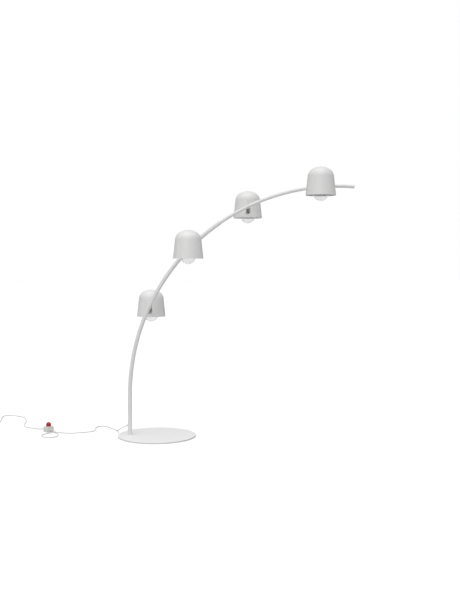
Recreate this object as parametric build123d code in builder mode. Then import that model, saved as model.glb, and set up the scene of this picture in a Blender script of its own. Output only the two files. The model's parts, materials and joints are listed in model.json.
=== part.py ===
from build123d import *
import math
import os

# Arc floor lamp: a heavy round base, a tubular arm bent to one large arc, and four
# bell shaped shades that hang from it, behind and in front of the arm in turn.
# Millimetres. Origin: centre of the base on the floor. +X towards the overhang,
# +Z up. The arc lies in the XZ plane.

# ---------------------------------------------------------------- base
base_radius = 250.0
base_thickness = 8.0
base_edge_round = 1.5
pad_height = 2.0
pad_radius = 11.0
centre_pad_radius = 20.0
pad_ring_inset = 30.0
pad_count = 6

# ---------------------------------------------------------------- foot and arm
foot_offset = 174.0
foot_step = 0.5
foot_wall = 2.2
foot_length = 201.0
spigot_height = 45.0
bolt_radius = 5.0
bolt_head_radius = 10.0
bolt_head_height = 4.0
bolt_reach = 30.0
coupler_length = 116.0
straight_above_foot = 62.0
arc_radius = 1340.0
lower_outer = 13.0
lower_wall = 1.7
joint_gap = 0.3
upper_wall = 1.5
seam_angle = 55.3
overlap_angle = 2.6
end_angle = 94.4
cap_rim = 0.5
cap_head = 5.0
cap_stem = 14.0
lead_slack = 0.8
coupler_slack = 0.4

# ---------------------------------------------------------------- lamps along the arm
lamp_count = 4
first_angle = 24.5
angle_step = 20.0
stand_off = 185.0
saddle_thickness = 5.0
saddle_length = 44.0
saddle_width = 19.0
nipple_radius = 4.0
nipple_bore = 2.5
washer_thickness = 1.0
stem_outer = 8.0
stem_floor = 5.0
nut_flats = 1.9
nut_thickness = 4.0
crown_nut_wall = 3.5
crown_nut_height = 5.0

# ---------------------------------------------------------------- shade
rim_radius = 95.0
spring_radius = 82.0
spring_height = 120.0
shoulder_radius = 60.0
crown_radius = 105.0
shade_wall = 1.0
rim_drop = 67.0
slot_above_rim = 22.0
slot_above_pin = 17.0

# ---------------------------------------------------------------- knuckle and bracket
pin_depth = 17.5
pin_radius = 2.5
barrel_length = 26.0
cheek_thickness = 2.0
cheek_drop = 12.0
pin_head_radius = 4.5
pin_head_height = 3.0
neck_gap = 2.5
shelf_overhang = 14.0
block_bottom = 20.0
block_top = 50.0
block_past_pin = 3.5
rivet_radius = 2.0
rivet_heights = (28.0, 42.0)
rivet_head_radius = 3.6
rivet_head_height = 1.0

# ---------------------------------------------------------------- lampholder and bulb
holder_wall = 6.8
holder_top_radius = 15.0
holder_skirt = 0.58
holder_length = 50.0
holder_bore_depth = 28.0
boss_radius = 5.0
boss_length = 9.0
globe_radius = 47.5
globe_below_rim = 35.0
neck_radius = 14.0
neck_fillet = 22.0
neck_length = 3.5
glass_wall = 0.8
bulb_cap_radius = 13.2
bulb_cap_length = 24.0
thread_depth = 0.7
thread_rings = 5
contact_radius = 5.0
contact_height = 2.0
filament_count = 4
filament_circle = 9.0
filament_radius = 0.9
filament_length = 38.0
bulb_stem_radius = 6.0
bulb_stem_length = 34.0

# ---------------------------------------------------------------- foot switch
switch_out = 480.0
switch_across = 150.0
switch_turn = 45.0
switch_side = 51.0
switch_height = 36.0
switch_corner = 6.0
switch_floor = 3.0
switch_wall = 2.0
button_radius = 16.0
button_wall = 2.0
button_stand = 28.0
button_travel = 3.0
flange_radius = 19.0
flange_thickness = 2.0
post_radius = 3.0
module_side = 24.0
module_height = 14.0
spring_coil_radius = 8.0
spring_wire = 0.6
spring_turns = 4.5
entry_height = 15.0

# ---------------------------------------------------------------- cord
cord_radius = 3.0
gland_azimuth = 168.0
gland_fall = 25.0
gland_axis_height = 78.0
gland_neck = 5.0
gland_collar_radius = 7.0
gland_collar = 2.0
gland_sleeve = 20.0
gland_sleeve_radius = 5.2
gland_tip_radius = 3.8
coil_out = 925.0
coil_across = 392.0
coil_mid_radius = 33.0
coil_turn_columns = 2
coil_turn_layers = 2
plug_length = 34.0
plug_width = 34.0
plug_height = 13.0
plug_tail = 22.0
plug_pin_radius = 2.0
plug_pin_pitch = 19.0
plug_pin_length = 19.0

# ---------------------------------------------------------------- clearances
slide_gap = 0.1
press_gap = 0.05
running_gap = 0.06
side_gap = 0.3

# ---------------------------------------------------------------- places worked out from them
base_top = pad_height + base_thickness
foot_top = base_top + foot_length
arc_height = foot_top + straight_above_foot
foot_outer = lower_outer + foot_step
foot_inner = foot_outer - foot_wall
lower_inner = lower_outer - lower_wall
upper_outer = lower_inner - joint_gap
upper_inner = upper_outer - upper_wall
foot_axis = (-foot_offset, 0.0)
switch_centre = (-base_radius - switch_out, switch_across)
coil_centre = (-base_radius - coil_out, coil_across)
arc_centre = Vector(arc_radius - foot_offset, 0, arc_height)
arc_axis = Axis(arc_centre, (0, 1, 0))
lead_radius = (upper_inner - lead_slack - nipple_radius - side_gap) / 2
lead_offset = nipple_radius + side_gap + lead_radius
coupler_outer = min(foot_inner, lower_inner) - slide_gap
coupler_inner = lead_offset + lead_radius + coupler_slack
lamp_angles = [first_angle + angle_step * k for k in range(lamp_count)]
lamp_sides = [1 if k % 2 == 0 else -1 for k in range(lamp_count)]
last_lamp_angle = lamp_angles[-1]

flare = math.atan((rim_radius - spring_radius) / spring_height)
crown_angle = math.asin(
    (spring_radius - shoulder_radius * math.cos(flare)) / (crown_radius - shoulder_radius)
)
wall_at_pin = rim_radius - rim_drop * math.tan(flare)
pin_reach = stand_off - wall_at_pin + pin_depth
saddle_face = max(lower_outer, upper_outer) + saddle_thickness
stem_start = saddle_face + washer_thickness
nut_radius = nipple_radius + nut_flats
stem_bore = nut_radius + side_gap
crown_nut_radius = nipple_radius + crown_nut_wall
web_gap = stem_outer + cheek_thickness
slot_width = barrel_length
block_depth = pin_depth + block_past_pin
cheek_inner = barrel_length / 2 + side_gap
cheek_outer = cheek_inner + cheek_thickness
globe_height = globe_radius - globe_below_rim - rim_drop
neck_run = math.sqrt((globe_radius + neck_fillet) ** 2 - (neck_radius + neck_fillet) ** 2)
neck_top = globe_height + neck_run + neck_length
holder_mouth = neck_top + neck_gap
shelf_height = holder_mouth + holder_length
holder_radius = bulb_cap_radius + holder_wall

os.makedirs("parts", exist_ok=True)


def arm_point(angle):
    """A point on the arm's centre line, by its angle along the arc."""
    turn = math.radians(angle)
    return arc_centre + Vector(-arc_radius * math.cos(turn), 0, arc_radius * math.sin(turn))


def arm_plane(angle):
    """The plane across the arm there: its normal runs along the arm, its x to the arc's centre."""
    turn = math.radians(angle)
    along = Vector(math.sin(turn), 0, math.cos(turn))
    inward = Vector(math.cos(turn), 0, -math.sin(turn))
    return Plane(origin=arm_point(angle), x_dir=inward, z_dir=along)


def stem_plane(lamp, reach):
    """The plane across a lamp's stem, at a reach from the arm's centre line. Its x runs along the arm."""
    turn = math.radians(lamp_angles[lamp])
    along = Vector(math.sin(turn), 0, math.cos(turn))
    outward = Vector(0, lamp_sides[lamp], 0)
    return Plane(origin=arm_point(lamp_angles[lamp]) + outward * reach, x_dir=along, z_dir=outward)


def lamp_place(lamp):
    """Where a lamp stands: +Y of its own frame points away from the arm, its origin is in the arm."""
    return Location(arm_point(lamp_angles[lamp]), (0, 0, 90 - 90 * lamp_sides[lamp]))


def arm_outer(lamp):
    """The arm's outer radius where a lamp is fixed."""
    return lower_outer if lamp_angles[lamp] < seam_angle else upper_outer


def arm_stretch(outer, start, end, mode):
    """A solid stretch of the bent arm, inside the active part."""
    with BuildSketch(arm_plane(start)) as section:
        Circle(outer)
    revolve(section.sketch, axis=arc_axis, revolution_arc=end - start, mode=mode)


def nipple_holes(lamps):
    """Cut the arm in the active part right through for the nipples of these lamps."""
    with Locations(*[stem_plane(lamp, 0).location for lamp in lamps]):
        Cylinder(nipple_radius + slide_gap, 4 * lower_outer, mode=Mode.SUBTRACT)


def save(part, name):
    """Label a finished piece and write it."""
    part.label = name
    export_step(part, f"parts/{name}.step")


# ================================================================ base
with BuildPart() as base_plate:
    with BuildSketch(Plane.XY.offset(pad_height)):
        Circle(base_radius)
    extrude(amount=base_thickness)
    fillet(base_plate.edges().filter_by(GeomType.CIRCLE), base_edge_round)
    with Locations(Plane.XY.offset(pad_height) * Location((-foot_offset, 0, 0), (180, 0, 0))):
        CounterBoreHole(
            bolt_radius + side_gap,
            bolt_head_radius + side_gap,
            bolt_head_height + side_gap,
            base_thickness,
        )
save(base_plate.part, "base_plate")

with BuildPart() as base_pads:
    with BuildSketch(Plane.XY):
        Circle(centre_pad_radius)
        with PolarLocations(base_radius - pad_ring_inset, pad_count):
            Circle(pad_radius)
    extrude(amount=pad_height)
save(base_pads.part, "base_pads")

with BuildPart() as foot_spigot:
    with BuildSketch(Plane.XY.offset(base_top)):
        with Locations(foot_axis):
            Circle(foot_inner - slide_gap)
            Circle(bolt_radius + press_gap, mode=Mode.SUBTRACT)
    extrude(amount=spigot_height)
    chamfer(foot_spigot.edges().group_by(Axis.Z)[-1], 1.0)
save(foot_spigot.part, "foot_spigot")

with BuildPart() as foot_bolt:
    with BuildSketch(Plane.XY.offset(pad_height)):
        with Locations(foot_axis):
            Circle(bolt_head_radius)
    extrude(amount=bolt_head_height)
    with BuildSketch(Plane.XY.offset(pad_height)):
        with Locations(foot_axis):
            RegularPolygon(bolt_radius * 0.6, 6)
    extrude(amount=bolt_head_height * 0.6, mode=Mode.SUBTRACT)
    with BuildSketch(Plane.XY.offset(pad_height + bolt_head_height)):
        with Locations(foot_axis):
            Circle(bolt_radius)
    extrude(amount=bolt_reach)
save(foot_bolt.part, "foot_bolt")

# ================================================================ foot and arm
gland_turn = math.radians(gland_azimuth)
gland_dip = math.radians(gland_fall)
gland_way = Vector(
    math.cos(gland_turn) * math.cos(gland_dip),
    math.sin(gland_turn) * math.cos(gland_dip),
    -math.sin(gland_dip),
)
gland_origin = Vector(-foot_offset, 0, gland_axis_height)
gland_seat = foot_outer / math.cos(gland_dip)
gland_plane = Plane(origin=gland_origin, x_dir=(0, 0, 1), z_dir=gland_way)
gland_end = gland_origin + gland_way * (gland_seat + gland_collar + gland_sleeve)

grub_radius = 2.5
coupler_low = foot_top - coupler_length / 2
foot_grub_heights = (base_top + spigot_height / 2, foot_top - coupler_length / 4)
arm_grub_height = foot_top + coupler_length / 4
joint_grub_angles = (seam_angle - overlap_angle * 0.75, seam_angle - overlap_angle * 0.25)


def grub_plane(height):
    """The plane across a grub screw in the upright tubes, facing the back."""
    return Plane(origin=(-foot_offset, 0, height), x_dir=(1, 0, 0), z_dir=(0, 1, 0))


def joint_grub_plane(angle):
    """The plane across a grub screw in the arm's joint, facing the back."""
    return Plane(origin=arm_point(angle), x_dir=(1, 0, 0), z_dir=(0, 1, 0))


with BuildPart() as foot_tube:
    with BuildSketch(Plane.XY.offset(base_top)):
        with Locations(foot_axis):
            Circle(foot_outer)
            Circle(foot_inner, mode=Mode.SUBTRACT)
    extrude(amount=foot_length)
    with BuildSketch(gland_plane):
        Circle(gland_neck + press_gap)
    extrude(amount=2 * foot_outer, mode=Mode.SUBTRACT)
    for height in foot_grub_heights:
        with BuildSketch(grub_plane(height)):
            Circle(grub_radius + press_gap)
        extrude(amount=2 * foot_outer, mode=Mode.SUBTRACT)
save(foot_tube.part, "foot_tube")

with BuildPart() as foot_coupler:
    with BuildSketch(Plane.XY.offset(coupler_low)):
        with Locations(foot_axis):
            Circle(coupler_outer)
            Circle(coupler_inner, mode=Mode.SUBTRACT)
    extrude(amount=coupler_length)
save(foot_coupler.part, "foot_coupler")

with BuildPart() as lower_arm:
    with BuildSketch(Plane.XY.offset(foot_top)):
        with Locations(foot_axis):
            Circle(lower_outer)
    extrude(amount=straight_above_foot)
    arm_stretch(lower_outer, 0, seam_angle, Mode.ADD)
    with BuildSketch(Plane.XY.offset(foot_top)):
        with Locations(foot_axis):
            Circle(lower_inner)
    extrude(amount=straight_above_foot, mode=Mode.SUBTRACT)
    arm_stretch(lower_inner, 0, seam_angle, Mode.SUBTRACT)
    with BuildSketch(grub_plane(arm_grub_height)):
        Circle(grub_radius + press_gap)
    extrude(amount=2 * lower_outer, mode=Mode.SUBTRACT)
    for angle in joint_grub_angles:
        with BuildSketch(joint_grub_plane(angle)):
            Circle(grub_radius + press_gap)
        extrude(amount=2 * lower_outer, mode=Mode.SUBTRACT)
    nipple_holes([lamp for lamp in range(lamp_count) if lamp_angles[lamp] < seam_angle])
save(lower_arm.part.fix(), "lower_arm")

with BuildPart() as upper_arm:
    arm_stretch(upper_outer, seam_angle - overlap_angle, end_angle, Mode.ADD)
    arm_stretch(upper_inner, seam_angle - overlap_angle, end_angle, Mode.SUBTRACT)
    nipple_holes([lamp for lamp in range(lamp_count) if lamp_angles[lamp] >= seam_angle])
save(upper_arm.part.fix(), "upper_arm")

with BuildPart() as end_cap:
    with BuildSketch(arm_plane(end_angle)):
        Circle(upper_outer + cap_rim)
    extrude(amount=cap_head)
    fillet(end_cap.faces().sort_by(Axis.X)[-1].edges(), cap_head * 0.6)
    with BuildSketch(arm_plane(end_angle)):
        Circle(upper_inner - slide_gap * 2)
        Circle(upper_inner - slide_gap * 2 - 2.0, mode=Mode.SUBTRACT)
    extrude(amount=-cap_stem)
save(end_cap.part, "end_cap")

# Grub screws: one in the foot for the spigot, one each side of the coupler, two in the arm's joint.
with BuildPart() as grub_screws:
    for height, inner, outer in (
        (foot_grub_heights[0], foot_inner - slide_gap, foot_outer),
        (foot_grub_heights[1], coupler_outer, foot_outer),
        (arm_grub_height, coupler_outer, lower_outer),
    ):
        with BuildSketch(grub_plane(height).offset(inner)):
            Circle(grub_radius)
        extrude(amount=outer - inner - slide_gap * 2)
    for angle in joint_grub_angles:
        with BuildSketch(joint_grub_plane(angle).offset(upper_outer)):
            Circle(grub_radius)
        extrude(amount=lower_outer - upper_outer - slide_gap * 2)
save(grub_screws.part, "grub_screws")

# The lead inside the arm lies on the inner side of the tubes, beside the nipples.
lead_start = gland_axis_height - 12.0
with BuildPart() as arm_lead:
    with BuildSketch(Plane.XY.offset(lead_start)):
        with Locations((-foot_offset + lead_offset, 0)):
            Circle(lead_radius)
    extrude(amount=arc_height - lead_start)
    with BuildSketch(arm_plane(0)):
        with Locations((lead_offset, 0)):
            Circle(lead_radius)
    revolve(axis=arc_axis, revolution_arc=last_lamp_angle + 0.3)
save(arm_lead.part, "arm_lead")

# Strain relief moulded on the cord: a neck in the tube's wall, a collar and a tapered sleeve.
with BuildPart() as cord_gland:
    with BuildSketch(gland_plane.offset(foot_inner - 2.0)):
        Circle(gland_neck)
    extrude(amount=gland_seat - foot_inner + 2.0)
    with BuildSketch(gland_plane.offset(gland_seat - 4.0)):
        Circle(gland_collar_radius)
    extrude(amount=gland_collar + 4.0)
    with BuildSketch(Plane.XY.offset(base_top)):
        with Locations(foot_axis):
            Circle(foot_outer + press_gap)
            Circle(foot_inner - press_gap, mode=Mode.SUBTRACT)
    extrude(amount=foot_length, mode=Mode.SUBTRACT)
    with BuildSketch(gland_plane.offset(foot_inner - 2.0)):
        Circle(gland_neck)
    extrude(amount=gland_seat - foot_inner + 3.0)
    with BuildSketch(gland_plane.offset(gland_seat + gland_collar)):
        Circle(gland_sleeve_radius)
    with BuildSketch(gland_plane.offset(gland_seat + gland_collar + gland_sleeve)):
        Circle(gland_tip_radius)
    loft()
save(cord_gland.part, "cord_gland")

# ================================================================ what each lamp is fixed with
with BuildPart() as stem_saddles:
    for lamp in range(lamp_count):
        reach = arm_outer(lamp)
        angle = lamp_angles[lamp]
        with BuildSketch(stem_plane(lamp, reach * 0.72)):
            SlotOverall(saddle_length, saddle_width)
        extrude(amount=saddle_face - reach * 0.72)
        arm_stretch(reach + press_gap, angle - 2, angle + 2, Mode.SUBTRACT)
        with BuildSketch(stem_plane(lamp, 0)):
            Circle(nipple_radius + slide_gap)
        extrude(amount=2 * saddle_face, mode=Mode.SUBTRACT)
save(stem_saddles.part, "stem_saddles")

nipple_end = stem_start + stem_floor + side_gap + nut_thickness + 1.0
crown_engagement = 3.0
with BuildPart() as stem_nipples:
    for lamp in range(lamp_count):
        back = arm_outer(lamp) + crown_engagement
        with BuildSketch(stem_plane(lamp, -back)):
            Circle(nipple_radius)
            Circle(nipple_bore, mode=Mode.SUBTRACT)
        extrude(amount=back + nipple_end)
        with BuildSketch(arm_plane(lamp_angles[lamp])):
            Circle(nipple_bore * 0.7)
        extrude(amount=2 * nipple_radius, both=True, mode=Mode.SUBTRACT)
save(stem_nipples.part, "stem_nipples")

with BuildPart() as crown_nuts:
    for lamp in range(lamp_count):
        reach = arm_outer(lamp)
        angle = lamp_angles[lamp]
        with BuildSketch(stem_plane(lamp, -reach * 0.8)):
            Circle(crown_nut_radius)
        extrude(amount=-(reach * 0.2 + crown_nut_height), taper=12)
        arm_stretch(reach + press_gap, angle - 2, angle + 2, Mode.SUBTRACT)
        with BuildSketch(stem_plane(lamp, 0)):
            Circle(nipple_radius + press_gap)
        extrude(amount=-(reach + crown_engagement + press_gap), mode=Mode.SUBTRACT)
save(crown_nuts.part, "crown_nuts")

with BuildPart() as swivel_washers:
    for lamp in range(lamp_count):
        with BuildSketch(stem_plane(lamp, saddle_face)):
            Circle(stem_outer)
            Circle(nipple_radius + slide_gap, mode=Mode.SUBTRACT)
        extrude(amount=washer_thickness - press_gap)
save(swivel_washers.part, "swivel_washers")

with BuildPart() as swivel_nuts:
    for lamp in range(lamp_count):
        with BuildSketch(stem_plane(lamp, stem_start + stem_floor + press_gap)):
            RegularPolygon(nut_radius, 6)
            Circle(nipple_radius + press_gap, mode=Mode.SUBTRACT)
        extrude(amount=nut_thickness)
save(swivel_nuts.part, "swivel_nuts")

# ================================================================ one lamp, in its own frame
# Its origin is on the arm's centre line, +Y points away from the arm and +Z up.
# The tilting pin crosses the stem at pin_reach, and the shade's axis stands at stand_off.
shade_axis = Axis((0, stand_off, 0), (0, 0, 1))
shade_section = Plane(origin=(0, stand_off, 0), x_dir=(1, 0, 0), z_dir=(0, -1, 0))
rim_height = -rim_drop


def bell(inset):
    """Half of the shade's outline, set in by a wall, closed along its axis."""
    foot = (rim_radius - inset / math.cos(flare), rim_height)
    spring = (
        spring_radius - inset * math.cos(flare),
        rim_height + spring_height - inset * math.sin(flare),
    )
    skirt = Line(foot, spring)
    shoulder = JernArc(
        skirt @ 1, skirt % 1, shoulder_radius - inset, 90 - math.degrees(flare + crown_angle)
    )
    crown = JernArc(shoulder @ 1, shoulder % 1, crown_radius - inset, math.degrees(crown_angle))
    Polyline(crown @ 1, (0, rim_height), foot)


def bell_solid(inset, mode):
    """The solid that such an outline turns, inside the active part."""
    with BuildSketch(shade_section) as half:
        with BuildLine():
            bell(inset)
        make_face()
    revolve(half.sketch, axis=shade_axis, mode=mode)


with BuildPart() as shade:
    bell_solid(0, Mode.ADD)
    bell_solid(shade_wall, Mode.SUBTRACT)
    slot_low = rim_height + slot_above_rim
    slot_high = slot_above_pin
    with BuildSketch(Plane(origin=(0, 0, (slot_low + slot_high) / 2), x_dir=(1, 0, 0), z_dir=(0, 1, 0))):
        SlotOverall(slot_high - slot_low, slot_width, rotation=90)
    extrude(amount=stand_off, mode=Mode.SUBTRACT)
    with BuildSketch(Plane(origin=(0, 0, 0), x_dir=(1, 0, 0), z_dir=(0, 1, 0))):
        with Locations(*[(0, -height) for height in rivet_heights]):
            Circle(rivet_radius + press_gap)
    extrude(amount=stand_off, mode=Mode.SUBTRACT)

with BuildPart() as stem:
    stem_section = Plane(origin=(0, stem_start, 0), x_dir=(1, 0, 0), z_dir=(0, 1, 0))
    with BuildSketch(stem_section):
        Circle(stem_outer)
    extrude(amount=pin_reach - stem_start)
    with BuildSketch(Plane(origin=(0, pin_reach, 0), x_dir=(0, 1, 0), z_dir=(1, 0, 0))):
        Circle(stem_outer)
    extrude(amount=barrel_length / 2, both=True)
    with BuildSketch(stem_section.offset(stem_floor)):
        Circle(stem_bore)
    extrude(amount=pin_reach - stem_start - stem_floor - stem_outer - 2, mode=Mode.SUBTRACT)
    with BuildSketch(stem_section):
        Circle(nipple_radius + running_gap)
    extrude(amount=pin_reach, mode=Mode.SUBTRACT)
    with BuildSketch(Plane(origin=(0, pin_reach, 0), x_dir=(0, 1, 0), z_dir=(1, 0, 0))):
        Circle(pin_radius + running_gap)
    extrude(amount=barrel_length, both=True, mode=Mode.SUBTRACT)

web_place = pin_reach + web_gap
with BuildPart() as bracket:
    with BuildSketch(Plane.YZ.offset(cheek_inner)):
        with Locations((web_place, (shelf_height - cheek_drop) / 2)):
            Rectangle(
                2 * stem_outer + pin_depth, shelf_height + cheek_drop, align=(Align.MAX, Align.CENTER)
            )
    extrude(amount=cheek_thickness)
    mirror(about=Plane.YZ)
    with BuildSketch(Plane.XY.offset(-cheek_drop)):
        with Locations((0, web_place)):
            Rectangle(2 * cheek_outer, cheek_thickness, align=(Align.CENTER, Align.MIN))
    extrude(amount=shelf_height + cheek_drop)
    with BuildSketch(Plane.XY.offset(shelf_height)):
        with Locations((0, web_place)):
            Rectangle(
                2 * cheek_outer, stand_off + shelf_overhang - web_place, align=(Align.CENTER, Align.MIN)
            )
    extrude(amount=cheek_thickness)
    with BuildSketch(Plane.XY.offset(block_bottom)):
        with Locations((0, stand_off - rim_radius)):
            Rectangle(
                2 * cheek_outer, block_depth, align=(Align.CENTER, Align.MIN)
            )
    extrude(amount=block_top - block_bottom)
    with BuildSketch(Plane.XY.offset(shelf_height)):
        with Locations((0, stand_off)):
            Circle(boss_radius + slide_gap)
    extrude(amount=cheek_thickness, mode=Mode.SUBTRACT)
    with BuildSketch(Plane.YZ):
        with Locations((pin_reach, 0)):
            Circle(pin_radius + press_gap)
    extrude(amount=2 * cheek_outer, both=True, mode=Mode.SUBTRACT)
    with BuildSketch(Plane(origin=(0, 0, 0), x_dir=(1, 0, 0), z_dir=(0, 1, 0))):
        with Locations(*[(0, -height) for height in rivet_heights]):
            Circle(rivet_radius + press_gap)
    extrude(amount=stand_off, mode=Mode.SUBTRACT)
    bell_solid(shade_wall + press_gap, Mode.INTERSECT)

# The screw of the knuckle and its nut, the lampholder's nut and the two rivets in the shade's wall.
with BuildPart() as lamp_fasteners:
    with BuildSketch(Plane.YZ.offset(-cheek_outer - pin_head_height)):
        with Locations((pin_reach, 0)):
            Circle(pin_head_radius)
    extrude(amount=pin_head_height)
    with BuildSketch(Plane.YZ.offset(-cheek_outer - pin_head_height)):
        with Locations((pin_reach, 0)):
            Circle(pin_radius)
    extrude(amount=2 * cheek_outer + 2 * pin_head_height)
    with BuildSketch(Plane.YZ.offset(cheek_outer)):
        with Locations((pin_reach, 0)):
            RegularPolygon(pin_head_radius, 6)
    extrude(amount=pin_head_height)
    with BuildSketch(Plane.XY.offset(shelf_height + cheek_thickness)):
        with Locations((0, stand_off)):
            RegularPolygon(boss_radius * 1.8, 6)
            Circle(boss_radius + press_gap, mode=Mode.SUBTRACT)
    extrude(amount=boss_length * 0.5)
    for height in rivet_heights:
        outside = stand_off - rim_radius + (height + rim_drop) * math.tan(flare)
        rivet_plane = Plane(origin=(0, outside, height), x_dir=(1, 0, 0), z_dir=(0, 1, 0))
        with BuildSketch(rivet_plane.offset(-rivet_head_height)):
            Circle(rivet_head_radius)
        extrude(amount=rivet_head_height - press_gap - rivet_head_radius * math.tan(flare))
        with BuildSketch(rivet_plane.offset(-rivet_head_height)):
            Circle(rivet_radius)
        extrude(amount=pin_depth * 0.6)

with BuildPart() as lampholder:
    with BuildSketch(shade_section):
        with BuildLine():
            Polyline(
                (bulb_cap_radius + side_gap * 2, holder_mouth),
                (holder_radius, holder_mouth),
                (holder_radius, shelf_height - holder_length * (1 - holder_skirt)),
                (holder_radius - 2, shelf_height - holder_length * (1 - holder_skirt) + 1),
                (holder_top_radius, shelf_height),
                (boss_radius, shelf_height),
                (boss_radius, shelf_height + boss_length),
                (nipple_bore, shelf_height + boss_length),
                (nipple_bore, holder_mouth + holder_bore_depth),
                (bulb_cap_radius + side_gap * 2, holder_mouth + holder_bore_depth),
                close=True,
            )
        make_face()
    revolve(axis=shade_axis)
    fillet(lampholder.edges().filter_by(GeomType.CIRCLE).group_by(Axis.Z)[0].sort_by(SortBy.LENGTH)[-1], 1.5)


def globe(inset):
    """Half of the bulb's outline, set in by the glass, closed along its axis."""
    radius = globe_radius - inset
    bend = neck_fillet + inset
    neck = neck_radius - inset
    reach = math.degrees(math.atan2(neck_run, neck + bend))
    CenterArc((0, globe_height), radius, -90, 90 + reach)
    CenterArc((neck + bend, globe_height + neck_run), bend, 180, reach)
    Polyline(
        (neck, globe_height + neck_run),
        (neck, neck_top),
        (0, neck_top),
        (0, globe_height - radius),
    )


with BuildPart() as bulb_glass:
    for inset, mode in ((0, Mode.ADD), (glass_wall, Mode.SUBTRACT)):
        with BuildSketch(shade_section):
            with BuildLine():
                globe(inset)
            make_face()
        revolve(axis=shade_axis, mode=mode)

with BuildPart() as bulb_cap:
    ring_pitch = bulb_cap_length / (thread_rings + 2)
    outline = [(0, neck_top), (bulb_cap_radius, neck_top)]
    for ring in range(thread_rings):
        low = neck_top + ring_pitch * (ring + 0.5)
        outline.append((bulb_cap_radius - thread_depth, low))
        outline.append((bulb_cap_radius, low + ring_pitch * 0.5))
    outline.append((bulb_cap_radius - thread_depth, neck_top + ring_pitch * (thread_rings + 0.5)))
    outline.append((contact_radius, neck_top + bulb_cap_length))
    outline.append((contact_radius * 0.7, neck_top + bulb_cap_length + contact_height))
    outline.append((0, neck_top + bulb_cap_length + contact_height))
    with BuildSketch(shade_section):
        with BuildLine():
            Polyline(*outline, close=True)
        make_face()
    revolve(axis=shade_axis)

with BuildPart() as bulb_filament:
    stem_foot = neck_top - bulb_stem_length
    with BuildSketch(Plane.XY.offset(stem_foot)):
        with Locations((0, stand_off)):
            Circle(bulb_stem_radius * 0.5)
    with BuildSketch(Plane.XY.offset(neck_top - press_gap)):
        with Locations((0, stand_off)):
            Circle(bulb_stem_radius)
    loft()
    with BuildSketch(Plane.XY.offset(stem_foot - 2)):
        with Locations((0, stand_off)):
            Circle(filament_circle + filament_radius * 2)
            Circle(filament_circle - filament_radius * 2, mode=Mode.SUBTRACT)
            Rectangle(2 * filament_circle, 2 * filament_radius)
            Rectangle(2 * filament_radius, 2 * filament_circle)
    extrude(amount=2)
    with BuildSketch(Plane.XY.offset(stem_foot - 2)):
        with Locations((0, stand_off)):
            with PolarLocations(filament_circle, filament_count):
                Circle(filament_radius)
    extrude(amount=-filament_length)

lamp_pieces = {
    "stem": stem,
    "bracket": bracket,
    "fasteners": lamp_fasteners,
    "lampholder": lampholder,
    "shade": shade,
    "bulb_glass": bulb_glass,
    "bulb_cap": bulb_cap,
    "filament": bulb_filament,
}
for lamp in range(lamp_count):
    for name, piece in lamp_pieces.items():
        save(piece.part.moved(lamp_place(lamp)), f"lamp_{lamp + 1}_{name}")

# ================================================================ foot switch
switch_plane = Plane(
    origin=(switch_centre[0], switch_centre[1], 0),
    x_dir=(math.cos(math.radians(switch_turn)), math.sin(math.radians(switch_turn)), 0),
    z_dir=(0, 0, 1),
)
cover_under = switch_height - switch_wall
flange_top = cover_under - slide_gap
flange_bottom = flange_top - flange_thickness
module_top = switch_floor + module_height
button_top = switch_height + button_stand
web_under = flange_top + 1.0

with BuildPart() as switch_base:
    with BuildSketch(switch_plane):
        RectangleRounded(switch_side, switch_side, switch_corner)
    extrude(amount=switch_floor - press_gap)
    chamfer(switch_base.edges().group_by(Axis.Z)[0], 0.8)
save(switch_base.part, "switch_base")

with BuildPart() as switch_cover:
    with BuildSketch(switch_plane.offset(switch_floor)):
        RectangleRounded(switch_side, switch_side, switch_corner)
    extrude(amount=switch_height - switch_floor)
    fillet(switch_cover.edges().group_by(Axis.Z)[-1], 1.5)
    with BuildSketch(switch_plane.offset(switch_floor)):
        RectangleRounded(
            switch_side - 2 * switch_wall, switch_side - 2 * switch_wall, switch_corner - switch_wall
        )
    extrude(amount=cover_under - switch_floor, mode=Mode.SUBTRACT)
    with BuildSketch(switch_plane.offset(cover_under)):
        Circle(button_radius + side_gap)
    extrude(amount=switch_wall, mode=Mode.SUBTRACT)
save(switch_cover.part, "switch_cover")

switch_section = Plane(
    origin=(switch_centre[0], switch_centre[1], 0), x_dir=(1, 0, 0), z_dir=(0, -1, 0)
)
switch_axis = Axis((switch_centre[0], switch_centre[1], 0), (0, 0, 1))
dome_base = button_top - button_radius
inner_radius = button_radius - button_wall
with BuildPart() as switch_button:
    with BuildSketch(switch_section):
        with BuildLine():
            wall = Polyline(
                (0, module_top + button_travel + side_gap),
                (post_radius, module_top + button_travel + side_gap),
                (post_radius, web_under),
                (inner_radius, web_under),
                (inner_radius, flange_bottom),
                (flange_radius, flange_bottom),
                (flange_radius, flange_top),
                (button_radius, flange_top),
                (button_radius, dome_base),
            )
            CenterArc((0, dome_base), button_radius, 0, 90)
            Line((0, button_top), wall @ 0)
        make_face()
        with BuildLine():
            CenterArc((0, dome_base), inner_radius, 0, 90)
            Polyline(
                (0, dome_base + inner_radius),
                (0, web_under + button_wall),
                (inner_radius, web_under + button_wall),
                (inner_radius, dome_base),
            )
        make_face(mode=Mode.SUBTRACT)
    revolve(axis=switch_axis)
save(switch_button.part, "switch_button")

with BuildPart() as switch_module:
    with BuildSketch(switch_plane.offset(switch_floor)):
        RectangleRounded(module_side, module_side, 2.0)
    extrude(amount=module_height)
save(switch_module.part, "switch_module")

spring_low = module_top + spring_wire
spring_rise = web_under - module_top - 2 * spring_wire
with BuildPart() as switch_spring:
    with BuildLine(Plane(origin=(switch_centre[0], switch_centre[1], spring_low))) as spring_path:
        Helix(spring_rise / spring_turns, spring_rise, spring_coil_radius)
    with BuildSketch(Plane(origin=spring_path.line @ 0, z_dir=spring_path.line % 0)):
        Circle(spring_wire)
    sweep(is_frenet=True)
save(switch_spring.part, "switch_spring")

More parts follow.
